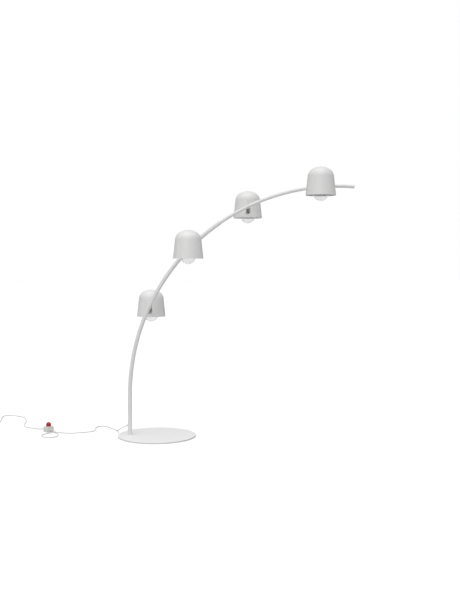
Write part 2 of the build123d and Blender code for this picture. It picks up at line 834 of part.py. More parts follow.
# ================================================================ cord
floor = cord_radius


def face_point(azimuth, height):
    """The middle of one side of the switch, by the way that it faces."""
    turn = math.radians(azimuth)
    half = switch_side / 2
    return (
        switch_centre[0] + half * math.cos(turn),
        switch_centre[1] + half * math.sin(turn),
        height,
    )


def out_of_base(points):
    """Points given by how far out they lie from the base's edge, by their Y and their height."""
    return [(-base_radius - out, across, height) for out, across, height in points]


# From the lamp's foot to the switch, ending in a loop in front of it.
lamp_route = [
    tuple(gland_end),
    (-222.0, 12.0, 55.0),
    (-238.0, 29.0, 44.0),
    *out_of_base([
        (0.0, 58.0, 33.0),
        (10.0, 93.0, 23.0),
        (18.0, 130.0, 13.0),
        (27.0, 168.0, 5.0),
        (47.0, 208.0, floor),
        (77.0, 252.0, floor),
        (102.0, 293.0, floor),
        (123.0, 324.0, floor),
        (152.0, 332.5, floor),
        (178.0, 315.5, floor),
        (184.5, 285.0, floor),
        (184.0, 244.0, floor),
        (179.0, 204.0, floor),
        (178.0, 168.0, floor),
        (193.0, 136.0, floor),
        (229.0, 119.0, floor),
        (277.0, 101.0, floor),
        (318.0, 81.0, floor),
        (359.0, 93.0, floor),
        (400.0, 108.0, floor),
        (438.0, 104.0, floor),
        (470.0, 84.0, floor),
        (492.0, 54.0, floor),
        (499.0, 19.0, floor),
        (491.0, -16.0, floor),
        (472.0, -45.0, floor),
        (443.0, -61.0, floor),
        (412.0, -54.0, floor),
        (392.0, -27.0, floor),
        (390.0, 8.0, floor),
        (397.0, 43.0, floor + 1.0),
        (411.0, 73.0, floor + 6.0),
        (429.0, 99.0, entry_height),
        (447.5, 118.5, entry_height),
    ]),
    face_point(-45.0, entry_height),
]
# From the switch across the floor to the coil of the rest of the cord.
coil_outer = coil_mid_radius + cord_radius * coil_turn_columns
coil_height = 2 * cord_radius * coil_turn_layers
coil_meet = math.sqrt(coil_outer**2 - coil_mid_radius**2)
mains_route = [
    face_point(135.0, entry_height),
    *out_of_base([
        (512.5, 182.0, entry_height - 1.0),
        (533.0, 204.0, 9.0),
        (561.0, 229.0, floor),
        (595.0, 250.0, floor),
        (632.0, 268.0, floor),
        (664.0, 299.0, floor),
        (685.0, 340.0, floor),
        (697.0, 388.0, floor),
        (702.0, 438.0, floor),
        (707.0, 490.0, floor),
        (718.0, 541.0, floor),
        (732.0, 592.0, floor),
        (751.0, 643.0, floor),
        (778.0, 686.0, floor),
        (814.0, 713.0, floor),
        (848.0, 733.0, floor),
        (878.0, 752.0, floor),
        (908.0, 744.0, floor),
        (923.0, 715.0, floor),
        (922.0, 678.0, floor),
        (915.0, 634.0, floor),
        (904.0, 588.0, floor),
        (896.0, 540.0, floor),
        (892.0, 495.0, floor),
        (891.0, 455.0, floor),
    ]),
    (coil_centre[0] + coil_mid_radius, coil_centre[1] + coil_meet, floor),
]


def bends(route):
    """The radius of the bend at each inner point: as large as its two runs allow."""
    points = [Vector(*point) for point in route]
    radii = []
    for before, here, after in zip(points, points[1:], points[2:]):
        arriving = here - before
        leaving = after - here
        turn = math.radians(arriving.get_angle(leaving))
        shorter = min(arriving.length, leaving.length)
        radii.append(0.45 * shorter / math.tan(turn / 2))
    return radii


def cord_tube(route, name):
    """A round cord along the route, as straight runs joined by tangent bends."""
    radii = bends(route)
    with BuildPart() as tube:
        with BuildLine() as path:
            FilletPolyline(*route, radius=radii)
        start = path.wire()
        with BuildSketch(Plane(origin=start @ 0, z_dir=start % 0)):
            Circle(cord_radius)
        sweep(path=start)
    ideal = math.pi * cord_radius**2 * start.length
    print(name, "length", round(start.length), "tightest bends", [round(r) for r in sorted(radii)[:4]])
    print(name, "volume over section times length", round(tube.part.volume / ideal, 4))
    save(tube.part, name)
    return tube.part


cord_lamp = cord_tube(lamp_route, "cord_lamp")
cord_mains = cord_tube(mains_route, "cord_mains")

with BuildPart() as cord_coil:
    with BuildSketch(Plane.XY):
        with Locations(coil_centre):
            Circle(coil_outer)
            Circle(coil_mid_radius - cord_radius * coil_turn_columns, mode=Mode.SUBTRACT)
    extrude(amount=coil_height)
    fillet(cord_coil.edges().filter_by(GeomType.CIRCLE), cord_radius * 0.8)
save(cord_coil.part, "cord_coil")

# The plug lies beside the coil, where the last turn runs out of it.
plug_tip = coil_centre[1] + coil_meet
plug_x = coil_centre[0] - coil_mid_radius
plug_back = Plane(origin=(plug_x, plug_tip, plug_height / 2), x_dir=(1, 0, 0), z_dir=(0, 1, 0))
with BuildPart() as plug_body:
    with BuildSketch(plug_back):
        Circle(gland_tip_radius)
    with BuildSketch(plug_back.offset(plug_tail)):
        Circle(gland_sleeve_radius + 0.8)
    loft()
    with BuildSketch(plug_back.offset(plug_tail)):
        RectangleRounded(plug_width * 0.5, plug_height, 5.5)
    with BuildSketch(plug_back.offset(plug_tail + plug_length)):
        RectangleRounded(plug_width, plug_height, 5.5)
    loft()
save(plug_body.part, "plug_body")

plug_front = plug_back.offset(plug_tail + plug_length)
with BuildPart() as plug_pins:
    with BuildSketch(plug_front):
        with Locations((-plug_pin_pitch / 2, 0), (plug_pin_pitch / 2, 0)):
            Circle(plug_pin_radius)
    extrude(amount=plug_pin_length)
    fillet(plug_pins.edges().group_by(Axis.Y)[-1], plug_pin_radius * 0.5)
save(plug_pins.part, "plug_pins")
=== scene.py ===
# %% [markdown]
# # An arc floor lamp
# A heavy round base carries one tube that is bent to a large arc. Four bell shaped shades
# hang beside the arc on short stems, behind it and in front of it in turn, and a foot
# switch with a red button lies on the cord.
#
# The shapes that have to fit each other come in as a fixed frame of solids. This script
# gives them their finishes, lays the cords, and adds the small pieces that make the lamp
# look made rather than drawn: rolled rims, grip ribs, strain reliefs and a tie.

# %% Load the frame
import json
import math

import bmesh
import bpy
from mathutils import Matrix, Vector


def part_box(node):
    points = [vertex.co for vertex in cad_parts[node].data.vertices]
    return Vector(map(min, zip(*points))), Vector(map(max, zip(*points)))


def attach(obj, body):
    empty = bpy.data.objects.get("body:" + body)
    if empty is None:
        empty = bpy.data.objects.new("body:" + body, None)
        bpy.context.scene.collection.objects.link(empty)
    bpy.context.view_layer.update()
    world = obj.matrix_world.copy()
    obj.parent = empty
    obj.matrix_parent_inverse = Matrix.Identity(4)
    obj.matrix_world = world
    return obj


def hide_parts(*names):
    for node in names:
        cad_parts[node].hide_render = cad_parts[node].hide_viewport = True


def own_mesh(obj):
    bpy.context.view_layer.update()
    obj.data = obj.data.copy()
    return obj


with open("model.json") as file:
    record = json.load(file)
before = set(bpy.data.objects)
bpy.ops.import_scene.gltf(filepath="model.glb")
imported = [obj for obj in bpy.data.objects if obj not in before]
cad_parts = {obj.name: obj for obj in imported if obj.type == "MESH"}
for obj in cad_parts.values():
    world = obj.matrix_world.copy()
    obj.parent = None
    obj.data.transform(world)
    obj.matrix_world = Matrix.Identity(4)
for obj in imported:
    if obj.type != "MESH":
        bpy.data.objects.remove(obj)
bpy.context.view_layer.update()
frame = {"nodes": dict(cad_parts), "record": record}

lamps = (1, 2, 3, 4)
print("nodes in the frame:", len(frame["nodes"]))

# %% [markdown]
# ## Camera
# A long lens from nearly six metres keeps the circles of the shades calm. The camera stands
# level, a little above half the lamp's height, so upright things stay upright. The lamp
# would sit low in the frame then, and a small lens shift lifts the frame instead of tilting
# the camera, as is done for pictures of buildings.

# %% Camera
LENS = 51.68
LENS_SHIFT = -0.0755
CAMERA_PLACE = (0.471, -5.676, 1.135)
camera_data = bpy.data.cameras.new("studio_camera")
camera_data.lens = LENS
camera_data.shift_y = LENS_SHIFT
camera = bpy.data.objects.new("studio_camera", camera_data)
camera.location = CAMERA_PLACE
camera.rotation_euler = (math.radians(90), 0, 0)
bpy.context.collection.objects.link(camera)
bpy.context.scene.camera = camera
print("lens", camera_data.lens, "mm from", round(-camera.location.y, 2), "m")

# %% [markdown]
# ## Cords
# A mains lead is one smooth curve, because it resists bending. A NURBS spline of order 3
# passes close to its control points and never kinks, so a cord is a handful of points laid
# along the floor. The order is set after the points are there: set before, Blender lowers
# it to the number of points it has so far.
#
# The thickness sits in each point's own radius, with a bevel depth of one, because Blender
# counts that radius when it works out how large a curve is.

# %% Helper: one cord from its points
CORD_RADIUS = 0.003


def lay_cord(name, points):
    """A round cord as one NURBS curve through the space near its points, in metres."""
    curve = bpy.data.curves.new(name, "CURVE")
    curve.dimensions = "3D"
    curve.bevel_depth = 1.0
    curve.bevel_resolution = 4
    curve.resolution_u = 8
    curve.use_fill_caps = True
    spline = curve.splines.new("NURBS")
    spline.points.add(len(points) - 1)
    for control, place in zip(spline.points, points):
        control.co = (*place, 1.0)
        control.radius = CORD_RADIUS
    spline.order_u = 3
    spline.use_endpoint_u = True
    cord = bpy.data.objects.new(name, curve)
    bpy.context.collection.objects.link(cord)
    print(name, "points", len(points), "curve length", round(spline.calc_length(), 3), "m")
    return cord


# %% [markdown]
# The first cord leaves the foot through its strain relief, falls to the floor, goes back
# and round in a loose bend, and makes one loop in front of the foot switch. Where the loop
# closes it rises to the height of the switch's entry.

# %% Cord from the lamp's foot to the switch
lamp_exit = (-0.2067, 0.0070, 0.0624)
lamp_cord_points = [
    lamp_exit,
    (-0.2220, 0.0120, 0.0550),
    (-0.2380, 0.0290, 0.0440),
    (-0.2500, 0.0580, 0.0330),
    (-0.2600, 0.0930, 0.0230),
    (-0.2680, 0.1300, 0.0130),
    (-0.2770, 0.1680, 0.0050),
    (-0.2970, 0.2080, 0.0030),
    (-0.3270, 0.2520, 0.0030),
    (-0.3520, 0.2930, 0.0030),
    (-0.3730, 0.3240, 0.0030),
    (-0.4020, 0.3325, 0.0030),
    (-0.4280, 0.3155, 0.0030),
    (-0.4345, 0.2850, 0.0030),
    (-0.4340, 0.2440, 0.0030),
    (-0.4290, 0.2040, 0.0030),
    (-0.4280, 0.1680, 0.0030),
    (-0.4430, 0.1360, 0.0030),
    (-0.4790, 0.1190, 0.0030),
    (-0.5270, 0.1010, 0.0030),
    (-0.5680, 0.0810, 0.0030),
    (-0.6090, 0.0930, 0.0030),
    (-0.6500, 0.1080, 0.0030),
    (-0.6880, 0.1040, 0.0030),
    (-0.7200, 0.0840, 0.0030),
    (-0.7420, 0.0540, 0.0030),
    (-0.7490, 0.0190, 0.0030),
    (-0.7410, -0.0160, 0.0030),
    (-0.7220, -0.0450, 0.0030),
    (-0.6930, -0.0610, 0.0030),
    (-0.6620, -0.0540, 0.0030),
    (-0.6420, -0.0270, 0.0030),
    (-0.6400, 0.0080, 0.0030),
    (-0.6470, 0.0430, 0.0040),
    (-0.6610, 0.0730, 0.0090),
    (-0.6790, 0.0990, 0.0150),
    (-0.6975, 0.1185, 0.0150),
    (-0.7120, 0.1320, 0.0150),
]
lamp_cord = lay_cord("lamp_cord", lamp_cord_points)
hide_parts("cord_lamp")
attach(lamp_cord, "stand")

# %% [markdown]
# The second cord runs from the switch to the plug. Its spare length is wound into a small
# coil of two layers, two turns wide. A loop makes the turns: it walks round the coil and
# eases the radius and the height from one turn to the next, each in a short window where
# nothing lies in the way.

# %% Cord from the switch to the plug
mains_exit = (-0.7480, 0.1680, 0.0150)
mains_cord_points = [
    mains_exit,
    (-0.7625, 0.1820, 0.0140),
    (-0.7830, 0.2040, 0.0090),
    (-0.8110, 0.2290, 0.0030),
    (-0.8450, 0.2500, 0.0030),
    (-0.8820, 0.2680, 0.0030),
    (-0.9140, 0.2990, 0.0030),
    (-0.9350, 0.3400, 0.0030),
    (-0.9470, 0.3880, 0.0030),
    (-0.9520, 0.4380, 0.0030),
    (-0.9570, 0.4900, 0.0030),
    (-0.9680, 0.5410, 0.0030),
    (-0.9820, 0.5920, 0.0030),
    (-1.0010, 0.6430, 0.0030),
    (-1.0280, 0.6860, 0.0030),
    (-1.0640, 0.7130, 0.0030),
    (-1.0980, 0.7330, 0.0030),
    (-1.1280, 0.7520, 0.0030),
    (-1.1580, 0.7440, 0.0030),
    (-1.1730, 0.7150, 0.0030),
    (-1.1720, 0.6780, 0.0030),
    (-1.1650, 0.6340, 0.0030),
    (-1.1540, 0.5880, 0.0030),
    (-1.1460, 0.5400, 0.0030),
    (-1.1415, 0.4950, 0.0030),
    (-1.1395, 0.4550, 0.0030),
    (-1.1390, 0.4200, 0.0030),
]
coil_middle = Vector((-1.175, 0.392))
outer_turn, inner_turn = 0.036, 0.030
points_per_turn = 16
turns = 3.5


def eased(turn, start, before, after, window=0.15):
    """A value that changes smoothly from before to after, from a turn on."""
    share = min(max((turn - start) / window, 0.0), 1.0)
    return before + (after - before) * share * share * (3 - 2 * share)


hull = 1 / math.cos(math.pi / points_per_turn)
for step in range(int(turns * points_per_turn) + 1):
    turn = step / points_per_turn
    radius = eased(turn, 0.80, outer_turn, inner_turn)
    if turn > 2:
        radius = eased(turn, 2.40, inner_turn, outer_turn)
    height = eased(turn, 1.60, CORD_RADIUS, 3 * CORD_RADIUS)
    angle = -2 * math.pi * turn
    mains_cord_points.append((
        coil_middle.x + radius * hull * math.cos(angle),
        coil_middle.y + radius * hull * math.sin(angle),
        height,
    ))
plug_start = (-1.208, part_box("plug_body")[0][1], 0.0065)
mains_cord_points.append((-1.2110, 0.4020, 0.0080))
mains_cord_points.append(plug_start)
mains_cord = lay_cord("mains_cord", mains_cord_points)
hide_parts("cord_mains", "cord_coil")
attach(mains_cord, "stand")
print("coil", round(2000 * (outer_turn + CORD_RADIUS)), "mm across")

# %% [markdown]
# ## Strain reliefs and the tie
# Where a cord leaves a rigid housing it would crease, so a soft sleeve carries it for the
# first few centimetres. Its rings get smaller towards the tip, and the gaps between them
# let it bend. A sleeve could be a stack of rings joined together, but it is a surface of
# revolution, so one helper turns a list of radius and height pairs into a closed mesh, and
# a second one points it along a direction. The rims of the shades use the same two.

# %% Helper: turned pieces
def turned(name, profile, segments=48):
    """A ring shaped piece about Z; its section is (radius, height) pairs, in metres."""
    mesh = bpy.data.meshes.new(name)
    shape = bmesh.new()
    rings = [
        [
            shape.verts.new((
                radius * math.cos(2 * math.pi * i / segments),
                radius * math.sin(2 * math.pi * i / segments),
                height,
            ))
            for i in range(segments)
        ]
        for radius, height in profile
    ]
    for low, high in zip(rings, rings[1:] + rings[:1]):
        for i in range(segments):
            j = (i + 1) % segments
            shape.faces.new((low[i], low[j], high[j], high[i]))
    bmesh.ops.recalc_face_normals(shape, faces=shape.faces)
    for face in shape.faces:
        face.smooth = True
    shape.to_mesh(mesh)
    shape.free()
    piece = bpy.data.objects.new(name, mesh)
    bpy.context.collection.objects.link(piece)
    return piece


def aimed(piece, place, direction):
    """Move a turned piece so that its +Z points along a direction, into its own mesh."""
    turn = Vector(direction).normalized().to_track_quat("Z", "Y").to_matrix().to_4x4()
    turn.translation = Vector(place)
    piece.data.transform(turn)
    return piece


# %% [markdown]
# The section of a sleeve is walked from the housing to the tip: each ring has softened
# edges and a groove after it, and the last three pairs come back along the bore. The
# sleeves lie level, because the cord enters the switch level.

# %% Section of a sleeve
SLEEVE_LENGTH = 0.022
SLEEVE_RINGS = 6
SLEEVE_RADIUS, SLEEVE_TAPER = 0.0056, 0.0018
TIP_RADIUS, SLEEVE_BORE = 0.0034, 0.0031
RING_SHARE = 0.72
EDGE_ROUND, EDGE_LENGTH = 0.0002, 0.0005
GROOVE_DEPTH = 0.0009


def sleeve_profile():
    """Rings that get smaller, with grooves between them, hollow for the cord."""
    profile = []
    for ring in range(SLEEVE_RINGS):
        low = SLEEVE_LENGTH * ring / SLEEVE_RINGS
        high = SLEEVE_LENGTH * (ring + RING_SHARE) / SLEEVE_RINGS
        onward = SLEEVE_LENGTH * (ring + 1) / SLEEVE_RINGS
        radius = SLEEVE_RADIUS - SLEEVE_TAPER * ring / SLEEVE_RINGS
        profile += [
            (radius - EDGE_ROUND, low),
            (radius, low + EDGE_LENGTH),
            (radius, high - EDGE_LENGTH),
            (radius - EDGE_ROUND, high),
            (radius - GROOVE_DEPTH, high + EDGE_ROUND),
            (radius - GROOVE_DEPTH, onward - EDGE_ROUND),
        ]
    profile += [(TIP_RADIUS, SLEEVE_LENGTH), (SLEEVE_BORE, SLEEVE_LENGTH), (SLEEVE_BORE, 0.0)]
    return profile


print("pairs in a sleeve's section:", len(sleeve_profile()))

# %% Strain reliefs at the foot switch
sleeves = {}
for name, start, onward in (
    ("lamp_side_sleeve", lamp_cord_points[-1], lamp_cord_points[-2]),
    ("mains_side_sleeve", mains_exit, mains_cord_points[1]),
):
    way = Vector(onward) - Vector(start)
    way.z = 0
    sleeves[name] = aimed(turned(name, sleeve_profile()), start, way)
    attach(sleeves[name], "stand")
print("sleeves", len(sleeves), "of", SLEEVE_LENGTH * 1000, "mm")

# %% [markdown]
# The tie that holds the coil is a flat band round its section. It is built the way it is
# wound: an outline with rounded corners goes round the four cords, and each point of it is
# widened to both sides.

# %% Helper: a band round the coil
TIE_WIDTH, TIE_THICKNESS = 0.007, 0.0006
TIE_HALF, TIE_HEIGHT, TIE_ROUND = 0.0064, 0.0126, 0.0028
CORNER_STEPS = 6


def band_round_coil(name, angle):
    """A thin band round the coil's section at an angle, as a closed strip."""
    centre_radius = (outer_turn + inner_turn) / 2
    outline = []
    for corner, (sx, sz) in enumerate(((1, 1), (-1, 1), (-1, 0), (1, 0))):
        cx = sx * (TIE_HALF - TIE_ROUND)
        cz = TIE_HEIGHT - TIE_ROUND if sz else TIE_ROUND
        for step in range(CORNER_STEPS + 1):
            turn = math.radians(90 * corner + 90 * step / CORNER_STEPS)
            outline.append((cx, cz, math.cos(turn), math.sin(turn)))
    shape = bmesh.new()
    loops = []
    for side in (-1, 1):
        for out in (0, 1):
            reach = TIE_ROUND + TIE_THICKNESS * out
            loops.append([
                shape.verts.new((
                    cx + reach * nx + centre_radius,
                    side * TIE_WIDTH / 2,
                    max(cz + reach * nz, 0.0),
                ))
                for cx, cz, nx, nz in outline
            ])
    count = len(outline)
    for first, second in ((0, 1), (1, 3), (3, 2), (2, 0)):
        for i in range(count):
            j = (i + 1) % count
            shape.faces.new((
                loops[first][i], loops[first][j], loops[second][j], loops[second][i],
            ))
    bmesh.ops.recalc_face_normals(shape, faces=shape.faces)
    for vert in shape.verts:
        x, y = vert.co.x, vert.co.y
        vert.co.x = coil_middle.x + x * math.cos(angle) - y * math.sin(angle)
        vert.co.y = coil_middle.y + x * math.sin(angle) + y * math.cos(angle)
    mesh = bpy.data.meshes.new(name)
    shape.to_mesh(mesh)
    shape.free()
    band = bpy.data.objects.new(name, mesh)
    bpy.context.collection.objects.link(band)
    return band


# %% Tie round the coil
coil_tie = band_round_coil("coil_tie", math.radians(-70))
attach(coil_tie, "stand")
print("tie", TIE_WIDTH * 1000, "mm wide")

# %% [markdown]
# A cord is only believable at its real length. lay_cord prints each curve's length when the cord
# is laid.

# %% [markdown]
# ## Return spring of the foot switch
# The spring under the red button gets shorter when the button goes down. A solid cannot do
# that, so the spring is wound here: a helix of points, thickened along its way, and made
# into a mesh.

# %% Wind the spring
SPRING_WIRE, SPRING_TURNS, STEPS_PER_TURN = 0.0006, 4.5, 24
low, high = (Vector(corner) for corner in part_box("switch_spring"))
spring_middle = (low + high) / 2
wire_circle = (high.x - low.x) / 2 - SPRING_WIRE
spring_steps = SPRING_TURNS * STEPS_PER_TURN
spring_curve = bpy.data.curves.new("spring_path", "CURVE")
spring_curve.dimensions = "3D"
spring_curve.bevel_depth = SPRING_WIRE
spring_curve.bevel_resolution = 3
spring_curve.use_fill_caps = True
winding = spring_curve.splines.new("POLY")
winding.points.add(int(spring_steps))
for index, control in enumerate(winding.points):
    turn = 2 * math.pi * index / STEPS_PER_TURN
    rise = (high.z - low.z - 2 * SPRING_WIRE) * index / spring_steps
    control.co = (
        spring_middle.x + wire_circle * math.cos(turn),
        spring_middle.y + wire_circle * math.sin(turn),
        low.z + SPRING_WIRE + rise,
        1.0,
    )
spring_source = bpy.data.objects.new("spring_path", spring_curve)
bpy.context.collection.objects.link(spring_source)
spring_mesh = bpy.data.meshes.new_from_object(
    spring_source.evaluated_get(bpy.context.evaluated_depsgraph_get()))
bpy.data.objects.remove(spring_source)
return_spring = bpy.data.objects.new("return_spring", spring_mesh)
bpy.context.collection.objects.link(return_spring)
for face in spring_mesh.polygons:
    face.use_smooth = True
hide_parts("switch_spring")
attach(return_spring, "stand")
print("spring height", round(high.z - low.z, 4))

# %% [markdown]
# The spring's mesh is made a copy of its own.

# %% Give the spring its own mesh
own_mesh(return_spring)

# %% [markdown]
# ## Shade rims and grip ribs
# A spun metal shade has no raw edge: its rim is rolled into a fine bead, which stiffens it
# and catches a line of light. A bevel on the shade's own mesh could show it too, but a
# ring with a small circle as its section leaves the shade as it is.

# %% Rolled beads on the shades
BEAD, BEAD_POINTS, RIM_SEGMENTS = 0.0011, 12, 160
for lamp in lamps:
    low, high = (Vector(corner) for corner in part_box(f"lamp_{lamp}_shade"))
    middle = (low + high) / 2
    rim = (high.x - low.x) / 2
    section = [
        (rim - BEAD + BEAD * math.cos(2 * math.pi * i / BEAD_POINTS),
         BEAD + BEAD * math.sin(2 * math.pi * i / BEAD_POINTS))
        for i in range(BEAD_POINTS)
    ]
    bead = aimed(turned(f"lamp_{lamp}_rim_bead", section, RIM_SEGMENTS),
                 (middle.x, middle.y, low.z), (0, 0, 1))
    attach(bead, f"head_{lamp}")
print("rim radius", round(rim, 4))

# %% [markdown]
# A lampholder's skirt has a row of fine ribs for the fingers that screw it. A bump could
# draw them, but they show at the outline, so each rib is a small closed bar that rises at
# both ends and stands a little in the skirt's wall.

# %% Grip ribs on the lampholders
RIBS = 40
RIB_FOOT, RIB_TOP = 0.0007, 0.0003
RIB_SUNK, RIB_END, RIB_PROUD = 0.0004, 0.0002, 0.0006
RIB_STATIONS = ((0.003, 0.0), (0.0042, RIB_PROUD), (0.0238, RIB_PROUD), (0.025, 0.0))
for lamp in lamps:
    low, high = (Vector(corner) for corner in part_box(f"lamp_{lamp}_lampholder"))
    middle = (low + high) / 2
    skirt = (high.x - low.x) / 2
    shape = bmesh.new()
    for rib in range(RIBS):
        turn = 2 * math.pi * rib / RIBS
        out = Vector((math.cos(turn), math.sin(turn), 0))
        across = Vector((-math.sin(turn), math.cos(turn), 0))
        ends = []
        for height, proud in RIB_STATIONS:
            foot = Vector((middle.x, middle.y, low.z + height)) + out * (skirt - RIB_SUNK)
            ends.append([
                shape.verts.new(foot - across * RIB_FOOT),
                shape.verts.new(foot - across * RIB_TOP + out * (proud + RIB_END)),
                shape.verts.new(foot + across * RIB_TOP + out * (proud + RIB_END)),
                shape.verts.new(foot + across * RIB_FOOT),
            ])
        for first, second in zip(ends, ends[1:]):
            for i in range(4):
                j = (i + 1) % 4
                shape.faces.new((first[i], first[j], second[j], second[i]))
        shape.faces.new(ends[0])
        shape.faces.new(reversed(ends[-1]))
    bmesh.ops.recalc_face_normals(shape, faces=shape.faces)
    mesh = bpy.data.meshes.new(f"lamp_{lamp}_grip_ribs")
    shape.to_mesh(mesh)
    shape.free()
    ribs = bpy.data.objects.new(f"lamp_{lamp}_grip_ribs", mesh)
    bpy.context.collection.objects.link(ribs)
    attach(ribs, f"head_{lamp}")
print("ribs on each lampholder:", RIBS)

# %% [markdown]
# ## Finishes
# Powder coat is melted plastic dust. Close up it has a shallow ripple, called orange peel,
# and every surface that people touch is a little smoother in places. Several finishes here
# share these two effects, so each is built once as a node group with sockets of its own,
# and each material sets its own values.

# %% Helper: node groups
def new_group(name, inputs, outputs):
    """An empty shader node group with named sockets: (name, socket type, start value)."""
    group = bpy.data.node_groups.new(name, "ShaderNodeTree")
    for label, kind, value in inputs:
        socket = group.interface.new_socket(name=label, in_out="INPUT", socket_type=kind)
        socket.default_value = value
    for label, kind in outputs:
        group.interface.new_socket(name=label, in_out="OUTPUT", socket_type=kind)
    return group, group.nodes.new("NodeGroupInput"), group.nodes.new("NodeGroupOutput")


def noise(nodes, links, place, scale, detail, roughness=0.5):
    """A noise texture; scale may be a number or a socket."""
    texture = nodes.new("ShaderNodeTexNoise")
    texture.inputs["Detail"].default_value = detail
    texture.inputs["Roughness"].default_value = roughness
    links.new(place, texture.inputs["Vector"])
    if isinstance(scale, (int, float)):
        texture.inputs["Scale"].default_value = scale
    else:
        links.new(scale, texture.inputs["Scale"])
    return texture.outputs["Fac"]


def mapped(nodes, links, value, low, high, to_low, to_high):
    """A value stretched from one range to another and clamped."""
    node = nodes.new("ShaderNodeMapRange")
    node.inputs["From Min"].default_value = low
    node.inputs["From Max"].default_value = high
    node.inputs["To Min"].default_value = to_low
    node.inputs["To Max"].default_value = to_high
    links.new(value, node.inputs["Value"])
    return node.outputs["Result"]


# %% [markdown]
# The first group is the ripple. It blends two sizes of soft noise, the broad ripple and a
# finer grain, and puts out one height. The material's own Bump node decides how deep it is.

# %% Group: surface ripple
ripple_group, ripple_in, ripple_out = new_group(
    "surface_ripple",
    [("Ripple Scale", "NodeSocketFloat", 600.0), ("Grain Scale", "NodeSocketFloat", 3000.0),
     ("Grain Share", "NodeSocketFloat", 0.3)],
    [("Height", "NodeSocketFloat")],
)
nodes, links = ripple_group.nodes, ripple_group.links
place = nodes.new("ShaderNodeTexCoord").outputs["Object"]
broad = noise(nodes, links, place, ripple_in.outputs["Ripple Scale"], 2.0)
fine = noise(nodes, links, place, ripple_in.outputs["Grain Scale"], 3.0)
blend = nodes.new("ShaderNodeMix")
links.new(ripple_in.outputs["Grain Share"], blend.inputs["Factor"])
links.new(broad, blend.inputs["A"])
links.new(fine, blend.inputs["B"])
links.new(blend.outputs["Result"], ripple_out.inputs["Height"])
print("group", ripple_group.name)

# %% [markdown]
# The second group is what handling and time leave: slow changes of tone and smoothness
# over a surface, and a trace of dust, only on what faces up. The same slow noise drives
# tone and smoothness, because a rubbed place changes in both at once.

# %% Group: handling
DUST_COLOR = (0.56, 0.55, 0.53, 1.0)
SPECK_SCALE, SPECK_DETAIL, SPECK_ROUGHNESS = 260.0, 5.0, 0.7
SPECK_FROM, SPECK_TO = 0.55, 0.75
UPWARD_FROM = 0.6
handling_group, handling_in, handling_out = new_group(
    "handling",
    [("Base Color", "NodeSocketColor", (0.8, 0.8, 0.8, 1.0)),
     ("Tone Change", "NodeSocketFloat", 0.03), ("Roughness", "NodeSocketFloat", 0.4),
     ("Roughness Change", "NodeSocketFloat", 0.08), ("Patch Scale", "NodeSocketFloat", 9.0),
     ("Dust", "NodeSocketFloat", 0.1)],
    [("Color", "NodeSocketColor"), ("Roughness", "NodeSocketFloat")],
)
nodes, links = handling_group.nodes, handling_group.links
place = nodes.new("ShaderNodeTexCoord").outputs["Object"]
patches = noise(nodes, links, place, handling_in.outputs["Patch Scale"], 4.0, 0.6)
centred = nodes.new("ShaderNodeMath")
centred.operation = "SUBTRACT"
centred.inputs[1].default_value = 0.5
links.new(patches, centred.inputs[0])


def scaled_and_added(amount, base):
    """base + amount * centred noise."""
    node = nodes.new("ShaderNodeMath")
    node.operation = "MULTIPLY_ADD"
    links.new(centred.outputs[0], node.inputs[0])
    links.new(amount, node.inputs[1])
    if base is None:
        node.inputs[2].default_value = 1.0
    else:
        links.new(base, node.inputs[2])
    return node.outputs[0]


tone = scaled_and_added(handling_in.outputs["Tone Change"], None)
shaded = nodes.new("ShaderNodeMix")
shaded.data_type = "RGBA"
shaded.blend_type = "MULTIPLY"
shaded.inputs["Factor"].default_value = 1.0
links.new(handling_in.outputs["Base Color"], shaded.inputs["A"])
links.new(tone, shaded.inputs["B"])
facing = nodes.new("ShaderNodeSeparateXYZ")
links.new(nodes.new("ShaderNodeNewGeometry").outputs["Normal"], facing.inputs[0])
upward = mapped(nodes, links, facing.outputs["Z"], UPWARD_FROM, 1.0, 0.0, 1.0)
fine = noise(nodes, links, place, SPECK_SCALE, SPECK_DETAIL, SPECK_ROUGHNESS)
specks = mapped(nodes, links, fine, SPECK_FROM, SPECK_TO, 0.0, 1.0)
dusty = nodes.new("ShaderNodeMath")
dusty.operation = "MULTIPLY"
links.new(upward, dusty.inputs[0])
links.new(specks, dusty.inputs[1])
dust_mask = nodes.new("ShaderNodeMath")
dust_mask.operation = "MULTIPLY"
links.new(dusty.outputs[0], dust_mask.inputs[0])
links.new(handling_in.outputs["Dust"], dust_mask.inputs[1])
dusted = nodes.new("ShaderNodeMix")
dusted.data_type = "RGBA"
dusted.inputs["B"].default_value = DUST_COLOR
links.new(dust_mask.outputs[0], dusted.inputs["Factor"])
links.new(shaded.outputs["Result"], dusted.inputs["A"])
links.new(dusted.outputs["Result"], handling_out.inputs["Color"])
rough = scaled_and_added(handling_in.outputs["Roughness Change"],
                         handling_in.outputs["Roughness"])
links.new(rough, handling_out.inputs["Roughness"])
print("group", handling_group.name)


# %% [markdown]
# A finish then is a Principled shader with the two groups in front of it. What is the same
# all over the surface, such as the coat or the index of refraction, is set on the shader
# itself.

